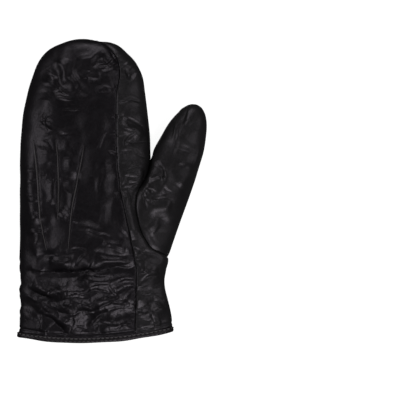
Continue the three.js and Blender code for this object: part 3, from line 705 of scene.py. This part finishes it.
def two_tones(nodes, links, share, deep, pale):
    """Lets the base colour wander from one tone to another by a share."""
    tone = nodes.new("ShaderNodeMix")
    tone.data_type = "RGBA"
    tone.inputs["A"].default_value = (*deep, 1)
    tone.inputs["B"].default_value = (*pale, 1)
    links.new(share, tone.inputs["Factor"])
    links.new(tone.outputs["Result"], nodes["Principled BSDF"].inputs["Base Color"])


def fine_relief(nodes, links, height, strength, depth):
    """Bends the normal by a height, which is so many metres deep at one."""
    bump = nodes.new("ShaderNodeBump")
    bump.inputs["Strength"].default_value = strength
    bump.inputs["Distance"].default_value = depth
    links.new(height, bump.inputs["Height"])
    links.new(bump.outputs["Normal"], nodes["Principled BSDF"].inputs["Normal"])


def leather(name, deep, pale, cells=950.0):
    """Dyed black leather: its colour wanders between two tones with the grain's patches. The
    cells are the number of pebbles in a metre."""
    material, nodes, links, shader = new_material(name)
    place = nodes.new("ShaderNodeTexCoord")
    pattern = nodes.new("ShaderNodeGroup")
    pattern.node_tree = grain
    pattern.inputs["Cells"].default_value = cells
    links.new(place.outputs["Object"], pattern.inputs["Place"])
    two_tones(nodes, links, pattern.outputs["Tone"], deep, pale)
    fine_relief(nodes, links, pattern.outputs["Height"], 0.42, 0.00008)
    links.new(pattern.outputs["Roughness"], shader.inputs["Roughness"])
    shader.inputs["IOR"].default_value = 1.54
    shader.inputs["Specular Tint"].default_value = (0.985, 0.900, 1.0, 1)
    return material


def flesh_side(name):
    """The leather's inside: matt, brushed and charcoal black, with a short nap."""
    material, nodes, links, shader = new_material(name)
    place = nodes.new("ShaderNodeTexCoord")
    nap = nodes.new("ShaderNodeTexNoise")
    nap.inputs["Scale"].default_value = 900.0
    nap.inputs["Detail"].default_value = 4.0
    links.new(place.outputs["Object"], nap.inputs["Vector"])
    two_tones(nodes, links, nap.outputs["Fac"], (0.010, 0.009, 0.009), (0.028, 0.026, 0.026))
    fine_relief(nodes, links, nap.outputs["Fac"], 0.5, 0.0003)
    shader.inputs["Roughness"].default_value = 0.95
    return material


back_leather = leather("back_leather", (0.0024, 0.0019, 0.0027), (0.0046, 0.0037, 0.0052))
inside_leather = flesh_side("inside_leather")

HAND_ROWS = (112, 112, 184)  # from the hem to the hole, past the hole and on to the tip
BACK_COLUMNS = 204
FINER = 4  # outer rows and columns for each one of the inner grid
BACK_END = TIP - 0.1  # the back panel ends just short of the point where the sections close
EVEN_AT = 10.0  # the section on which a strip's columns lie an even distance apart


def hand_stations(end=TIP):
    """Rows of the grids along the hand, with one exactly at each end of the thumb hole."""
    first = spaced(hand_base, 0, HOLE_FROM, HAND_ROWS[0])
    middle = spaced(hand_base, HOLE_FROM, HOLE_TO, HAND_ROWS[1])
    last = spaced(hand_base, HOLE_TO, end, HAND_ROWS[2])
    return np.concatenate([first, middle[1:], last[1:]])


def half_gap(at, angle):
    """The turn that covers half of the gap between two panels on the section at that place."""
    step = 0.01
    run = np.linalg.norm(hand_base(at, angle + step) - hand_base(at, angle - step), axis=-1)
    return np.minimum(0.3, GAP * step / np.maximum(run, 1e-4))


def hand_strip(stations, columns, start, end):
    """Outer and inner grids between two angles that change along the hand. The shares of the turn
    are those that lie an even distance apart on one section halfway."""
    fine = np.linspace(0, 1, 600)
    run = run_along(hand_base(EVEN_AT, start(EVEN_AT) + (end(EVEN_AT) - start(EVEN_AT)) * fine))
    shares = np.interp(np.linspace(0, run[-1], columns + 1), run, fine)
    grids = []
    for surface, places, share in ((hand_outer, stations, shares),
                                   (hand_inner, stations[::FINER], shares[::FINER])):
        at = places[:, None]
        angle = start(at) + (end(at) - start(at)) * share
        grids.append(surface(at, angle))
    return grids


outer, inner = hand_strip(
    hand_stations(BACK_END), BACK_COLUMNS,
    lambda at: half_gap(at, 0.0), lambda at: seam_angle(at) - half_gap(at, seam_angle(at)))
skin = Skin()
face, lining = skin.indices(outer), skin.indices(inner)
skin.cover(face)
skin.cover(lining, inside=True)
skin.rim(face[0], lining[0])
skin.rim(face[:, -1], lining[:, -1])
skin.rim(face[-1, ::-1], lining[-1, ::-1])
skin.rim(face[::-1, 0], lining[::-1, 0])
back = skin.piece("back_of_hand", [back_leather, inside_leather])
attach(back, "root")
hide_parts("back_panel")

# The palm and the index side
# One panel of the same leather under the palm, wrapped up over the index side to the seam on the
# back, and sewn to the back panel all round. The thumb hole is cut in it, across the index side.

palm_leather = leather("palm_leather", (0.0128, 0.0124, 0.0128), (0.0220, 0.0214, 0.0220))
SIDE_COLUMNS = 60
UNDER_COLUMNS = 64
TIP_WAY = np.array([0.1, 0.99, 0.0])  # outwards at the tip
palm_stations = hand_stations()
side_outer, side_inner = hand_strip(
    palm_stations, SIDE_COLUMNS,
    lambda at: seam_angle(at) + half_gap(at, seam_angle(at)), hole_angle)
under_outer, under_inner = hand_strip(
    palm_stations, UNDER_COLUMNS,
    lambda at: FULL_TURN - hole_angle(at), lambda at: FULL_TURN - half_gap(at, 0.0))
tip_outer = hand_base(TIP, 0.0)
tip_inner = tip_outer - WALL * TIP_WAY
skin = Skin()
first_hole = HAND_ROWS[0]
last_hole = first_hole + HAND_ROWS[1]
edges = []
for outer, inner in ((side_outer, side_inner), (under_outer, under_inner)):
    outer[-1], inner[-1] = tip_outer, tip_inner
    face, lining = skin.indices(outer), skin.indices(inner)
    skin.cover(face)
    skin.cover(lining, inside=True)
    skin.rim(face[0], lining[0])
    edges.append((face, lining))
(side_face, side_lining), (under_face, under_lining) = edges
skin.rim(side_face[::-1, 0], side_lining[::-1, 0])
skin.rim(under_face[:, -1], under_lining[:, -1])
hole = slice(first_hole, last_hole + 1)
hole_inside = slice(first_hole // FINER, last_hole // FINER + 1)
skin.rim(side_face[hole, -1], side_lining[hole_inside, -1])
skin.rim(under_face[hole, 0][::-1], under_lining[hole_inside, 0][::-1])
palm = skin.piece("palm_and_index_side", [palm_leather, inside_leather])
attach(palm, "root")
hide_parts("palm_panel")

# The thumb
# A padded tube of the palm's leather, closed at its tip and set into the hole with a seam that
# runs from the crotch in an arc over the base of the thumb, with a few pleats at its lower end.

THUMB_REACH = 105.0
THUMB_THICKNESS = 29.0
THUMB_SQUARENESS = 2.2
THUMB = [
    # crotch x, crotch y, outer x, outer y, middle, rise, drop
    (0.537, 0.604, 0.680, 0.277, 0.517, 0.570, 0.586),
    (0.551, 0.619, 0.723, 0.330, 0.517, 0.552, 0.586),
    (0.559, 0.632, 0.777, 0.393, 0.510, 0.538, 0.569),
    (0.579, 0.649, 0.836, 0.459, 0.500, 0.524, 0.552),
    (0.612, 0.672, 0.889, 0.520, 0.490, 0.510, 0.538),
    (0.649, 0.698, 0.932, 0.576, 0.476, 0.490, 0.517),
    (0.691, 0.724, 0.970, 0.627, 0.462, 0.455, 0.483),
    (0.742, 0.749, 0.989, 0.675, 0.448, 0.407, 0.431),
    (0.789, 0.767, 0.996, 0.716, 0.438, 0.345, 0.359),
    (0.834, 0.779, 0.985, 0.749, 0.428, 0.262, 0.266),
    (0.868, 0.785, 0.955, 0.772, 0.421, 0.148, 0.148),
    (0.914, 0.784, 0.914, 0.784, 0.417, 0.000, 0.000),
]
THUMB_TIP = len(THUMB) - 1
BLEND_ROWS = 5  # sections over which the seam's outline turns into the thumb's own


def thumb_base(at, angle):
    """Free thumb: like the hand's sections, from its crotch side over the top to its outer side."""
    at, angle = np.broadcast_arrays(np.asarray(at, float), angle)
    crotch_x, crotch_y, outer_x, outer_y, middle, rise, drop = np.moveaxis(table_at(THUMB, at), -1, 0)
    across = (1 - np.cos(angle)) / 2
    height = arch(angle, THUMB_SQUARENESS) * np.where(np.sin(angle) >= 0, rise, -drop)
    return np.stack([
        (crotch_x + (outer_x - crotch_x) * across) * THUMB_REACH,
        (crotch_y + (outer_y - crotch_y) * across) * LENGTH,
        np.maximum(0, (middle + height) * THUMB_THICKNESS),
    ], -1)


def thumb_ring():
    """The thumb's edge: the hole's edge, moved a gap inwards along the panel's surface."""
    at = palm_stations[first_hole:last_hole + 1]
    upper, lower = at[::-1], at[1:]
    places = np.concatenate([upper, lower])
    angles = np.concatenate([hole_angle(upper), FULL_TURN - hole_angle(lower)])
    edge = hand_base(places, angles)
    loop = edge[:-1]
    tangent = np.roll(loop, -1, 0) - np.roll(loop, 1, 0)
    inwards = unit(np.cross(hand_normal(places[:-1], angles[:-1]), tangent))
    ring, normal = loop + GAP * inwards, wall_normal(places[:-1], angles[:-1])
    return np.concatenate([ring, ring[:1]]), np.concatenate([normal, normal[:1]])


ring, ring_normal = thumb_ring()
ring_angle = np.linspace(0, FULL_TURN, len(ring))
THUMB_ROWS = 168
THUMB_TIP_WAY = np.array([0.3, 0.95, 0.0])  # outwards at the thumb's tip


def thumb_surface(at, columns, inward):
    """From the ring to the free thumb: the ring's offset from the first section fades as the
    square of the share that is left. The outer side is then moved along its normal by the relief
    less the seam's dip, and the inner side by a wall."""
    at = at[:, None]
    angle = ring_angle[columns]
    fade = np.clip(1 - at / BLEND_ROWS, 0, 1)[..., None] ** 2
    place = thumb_base(at, angle) + (ring - thumb_base(0.0, ring_angle))[columns] * fade
    own = normal_of(thumb_base, at, angle, THUMB_TIP)
    turn = np.clip(at / 2, 0, 1)[..., None]
    normal = unit(ring_normal[columns] * (1 - turn) + own * turn)
    if inward:
        return place - WALL * normal
    away = np.linalg.norm(place - ring[columns], axis=-1)
    upper = np.sqrt(np.clip(np.sin(angle), 0, 1))
    between = np.clip(np.minimum(at / 0.6, (THUMB_TIP - at) / 0.5), 0, 1)
    lift = upper * between * relief(place[..., :2]) - seam_dip(away, 0.9)
    place = place + lift[..., None] * normal
    place[..., 2] = np.maximum(place[..., 2], 0)
    return place


thumb_at = spaced(thumb_base, 0, THUMB_TIP, THUMB_ROWS)
outer = thumb_surface(thumb_at, np.arange(len(ring)), False)
inner = thumb_surface(thumb_at[::FINER], np.arange(len(ring))[::FINER], True)
outer[:, -1], inner[:, -1] = outer[:, 0], inner[:, 0]
outer[-1] = thumb_base(THUMB_TIP, 0.0)
inner[-1] = outer[-1, 0] - WALL * THUMB_TIP_WAY
skin = Skin()
face, lining = skin.indices(outer), skin.indices(inner)
skin.cover(face)
skin.cover(lining, inside=True)
skin.rim(face[0], lining[0])
thumb = skin.piece("set_in_thumb", [palm_leather, inside_leather])
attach(thumb, "root")
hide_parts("thumb")

# The hem
# The leather at the opening is rolled to the inside and sewn down right round with one row of
# stitches, which pull it into small even puckers.

HEM_HEIGHT = 5.0
HEM_TURNS = 720
HEM_SIDES = 20
STITCH_PITCH = 3.8
STITCH_LENGTH = 2.7
STITCH_DROP = 1.5  # of the row of stitches, below the edge of the panels
THREAD = 0.9
hem_leather = leather("hem_leather", (0.0100, 0.0085, 0.0092), (0.0180, 0.0154, 0.0168))


def cuff_frame(angle):
    """Edge of the panels, the way out and the way down at each angle round the opening, and the
    distance run round it."""
    edge = hand_base(0.0, angle)
    out = hand_normal(0.0, angle)
    down = unit(edge - hand_base(0.1, angle))
    return edge, out, down, run_along(edge)


def hem_ring():
    """A flat rounded ring: its section is a superellipse as wide as the wall and as high as the
    hem. It is flush with the panels at its top and stands out below, with a dip along the
    stitches and a pucker at each of them."""
    angle = np.linspace(0, FULL_TURN, HEM_TURNS + 1)
    edge, out, down, run = cuff_frame(angle)
    stitches = round(run[-1] / STITCH_PITCH)
    wave = np.cos(FULL_TURN * stitches * run / run[-1])[:, None]
    turn = np.linspace(0, FULL_TURN, HEM_SIDES + 1)
    width = np.sign(np.cos(turn)) * np.abs(np.cos(turn)) ** 0.4
    depth = np.sign(np.sin(turn)) * np.abs(np.sin(turn)) ** 0.7
    outside = np.clip(width, 0, 1)
    row = soft_profile((depth + 0.45) / 0.30)
    level = np.clip((depth + 1) / 0.7, 0, 1)
    sway = 0.25 * ripple(edge[:, :2], 30, 11)[:, None]
    swell = HEM_PROUD * level
    stitched_in = row * (0.18 + 0.14 * wave)
    proud = width * (WALL + swell) / 2 - WALL / 2 + (swell / 2 - stitched_in) * outside
    proud = proud + 0.12 * wave * outside * (1 - row)
    below = 0.1 + (HEM_HEIGHT + 0.1) / 2 * (1 + depth) + sway * np.clip(depth, 0, 1)
    points = edge[:, None] + proud[..., None] * out[:, None] + below[..., None] * down[:, None]
    points[..., 2] = np.maximum(points[..., 2], 0)
    points[-1], points[:, -1] = points[0], points[:, 0]
    return points


skin = Skin()
skin.cover(skin.indices(hem_ring()))
hem = skin.piece("rolled_hem", [hem_leather])
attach(hem, "root")
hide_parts("cuff_hem")


def thread(name):
    """Twisted black sewing thread with a slight sheen; its strands run across the stitch."""
    material, nodes, links, shader = new_material(name)
    place = nodes.new("ShaderNodeTexCoord")
    strands = nodes.new("ShaderNodeTexWave")
    strands.bands_direction = "DIAGONAL"
    strands.inputs["Scale"].default_value = 900.0
    links.new(place.outputs["Object"], strands.inputs["Vector"])
    two_tones(nodes, links, strands.outputs["Fac"], (0.070, 0.066, 0.068), (0.220, 0.210, 0.215))
    fine_relief(nodes, links, strands.outputs["Fac"], 0.5, 0.0001)
    shader.inputs["Roughness"].default_value = 0.3
    return material


def stitches(centre, along, out):
    """Stitches as small bent capsules, one at each place: the radius is half the thread times the
    square root of 1 - share^4, and the middle stands a little prouder than the ends."""
    share = np.linspace(-1, 1, 7)
    turn = np.linspace(0, FULL_TURN, 7)[:-1]
    across = np.cross(along, out)
    radius = THREAD / 2 * np.sqrt(np.maximum(1 - share ** 4, 0))
    middle = centre[:, None] + along[:, None] * share[:, None] * STITCH_LENGTH / 2
    middle = middle - out[:, None] * (0.35 * THREAD * share ** 2)[:, None]
    circle = np.cos(turn)[:, None] * across[:, None] + np.sin(turn)[:, None] * out[:, None]
    points = middle[:, :, None] + radius[:, None, None] * circle[:, None]
    index = np.arange(points[..., 0].size).reshape(points.shape[:-1])
    index = np.concatenate([index, index[..., :1]], 2)
    return points.reshape(-1, 3), quads(index).tolist()


black_thread = thread("black_thread")
angle = np.linspace(0, FULL_TURN, 2881)
edge, out, down, run = cuff_frame(angle)
count = round(run[-1] / STITCH_PITCH)
at_stitch = np.interp((np.arange(count) + 0.5) * run[-1] / count, run, angle)
edge, out, down, _ = cuff_frame(at_stitch)
on_hem = edge + down * STITCH_DROP + out * (HEM_PROUD - 0.05)
on_hem[:, 2] = np.maximum(on_hem[:, 2], THREAD / 2 + 0.01)
points, faces = stitches(on_hem, unit(np.cross(out, down)), out)
hem_stitches = new_piece("hem_stitches", (points + hand_origin) * 0.001, faces, [black_thread])
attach(hem_stitches, "root")

# The stitched points
# Three narrow tucks pinched up in the back panel and sewn along their foot, running from the
# knuckles to the wrist: each is a thin ridge of doubled leather, coloured paler as a painted
# highlight, that fades out at both ends.

TUCK_STITCH = 2.2
TUCK_STOPS = 140
TUCK_SIDES = 10
# The tucks' pale base colour is a painted highlight: it stands in for the glint along each narrow
# ridge.
painted_highlight_leather = leather("painted_highlight_leather", (0.0720, 0.0660, 0.0700), (0.1260, 0.1160, 0.1210), cells=1400.0)


def on_back(spot):
    """Row and angle of a place on the back seen from above, where its sections lie straight
    across: the row by its y, the angle from its share of the section's width."""
    rows = np.linspace(HOLE_FROM, TIP - 4, 600)
    at = np.interp(spot[:, 1], table_at(HAND, rows)[:, 1] * LENGTH, rows)
    ends = table_at(HAND, at)
    across = (spot[:, 0] / PALM_WIDTH - ends[:, 0]) / (ends[:, 2] - ends[:, 0])
    return at, np.arccos(1 - 2 * across)


def tuck(line):
    """A ridge carried along its line on the finished surface: half an ellipse, high above and
    shallow below, smaller towards both ends and nipped at every stitch."""
    spot = table_at(line, np.linspace(0, len(line) - 1, TUCK_STOPS))
    at, angle = on_back(spot)
    foot, out = hand_outer(at, angle), hand_normal(at, angle)
    along = unit(np.gradient(foot, axis=0))
    across = unit(np.cross(along, out))
    run = run_along(foot)
    size = np.sqrt(np.clip(np.sin(np.pi * np.linspace(0, 1, TUCK_STOPS)), 0.02, 1))
    size = size * (1 - 0.10 * np.cos(FULL_TURN * run / TUCK_STITCH))
    turn = np.linspace(0, FULL_TURN, TUCK_SIDES + 1)
    width = 0.75 * np.cos(turn)
    height = np.where(np.sin(turn) > 0, 1.5, 0.4) * np.sin(turn)
    points = foot[:, None] + (size[:, None] * width)[..., None] * across[:, None]
    points = points + (size[:, None] * height + 0.05)[..., None] * out[:, None]
    points[:, -1] = points[:, 0]
    points[0], points[-1] = points[0].mean(0), points[-1].mean(0)
    return points


for name, line in POINTS.items():
    skin = Skin()
    skin.cover(skin.indices(tuck(line)[:, ::-1]))
    point = skin.piece(name.replace("point", "tuck"), [painted_highlight_leather])
    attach(point, "root")
    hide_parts(name)

# The table, the light and the camera
# The mitten lies on a plain white table under four wide soft lights, seen from straight above.
# The lights stand well to the sides, so that only the slopes of the folds shine.

FRAME_WIDTH = 343.2  # of the table that the picture takes in
CAMERA_HEIGHT = 1600.0
LIGHT_SIZE = 0.9  # in metres, as the places of the lights are
FILM_WIDTH = 36.0
picture_middle = np.array([98.7, 121.8, 0.0]) + hand_origin


def plain_white(name):
    """Matt white that glows a little, so that it stays white in the picture."""
    material, _, _, shader = new_material(name)
    shader.inputs["Base Color"].default_value = (0.93, 0.93, 0.93, 1)
    shader.inputs["Roughness"].default_value = 0.9
    shader.inputs["Specular IOR Level"].default_value = 0.1
    shader.inputs["Emission Color"].default_value = (1, 1, 1, 1)
    shader.inputs["Emission Strength"].default_value = 0.88
    return material


table_top = new_piece(
    "table_top", np.array([(-3, -3, 0), (3, -3, 0), (3, 3, 0), (-3, 3, 0)], float),
    [(0, 1, 2, 3)], [plain_white("white_table")])
table_top.visible_glossy = table_top.visible_diffuse = False


def soft_light(name, place, power):
    """A square light facing the mitten."""
    lamp = bpy.data.lights.new(name, "AREA")
    lamp.shape, lamp.size, lamp.energy = "SQUARE", LIGHT_SIZE, power
    lamp_object = bpy.data.objects.new(name, lamp)
    lamp_object.location = place
    lamp_object.rotation_euler = (-Vector(place)).to_track_quat("-Z", "Y").to_euler()
    bpy.context.scene.collection.objects.link(lamp_object)


soft_light("left_light", (-1.40, 0.20, 1.50), 3.75)
soft_light("front_light", (0.40, -1.34, 1.64), 8.7)
soft_light("right_light", (1.40, 0.20, 1.50), 2.05)
soft_light("back_light", (0.00, 1.60, 1.25), 4.5)
world = bpy.data.worlds.new("studio")
world.use_nodes = True
world.node_tree.nodes["Background"].inputs["Color"].default_value = (1, 1, 1, 1)
world.node_tree.nodes["Background"].inputs["Strength"].default_value = 0.060
bpy.context.scene.world = world
bpy.context.scene.view_settings.view_transform = "Standard"

lens = bpy.data.cameras.new("camera")
lens.sensor_width = FILM_WIDTH
lens.lens = FILM_WIDTH * (CAMERA_HEIGHT - SEAM_HEIGHT) / FRAME_WIDTH
camera = bpy.data.objects.new("camera", lens)
camera.location = (picture_middle[0] / 1000, picture_middle[1] / 1000, CAMERA_HEIGHT / 1000)
bpy.context.scene.collection.objects.link(camera)
bpy.context.scene.camera = camera
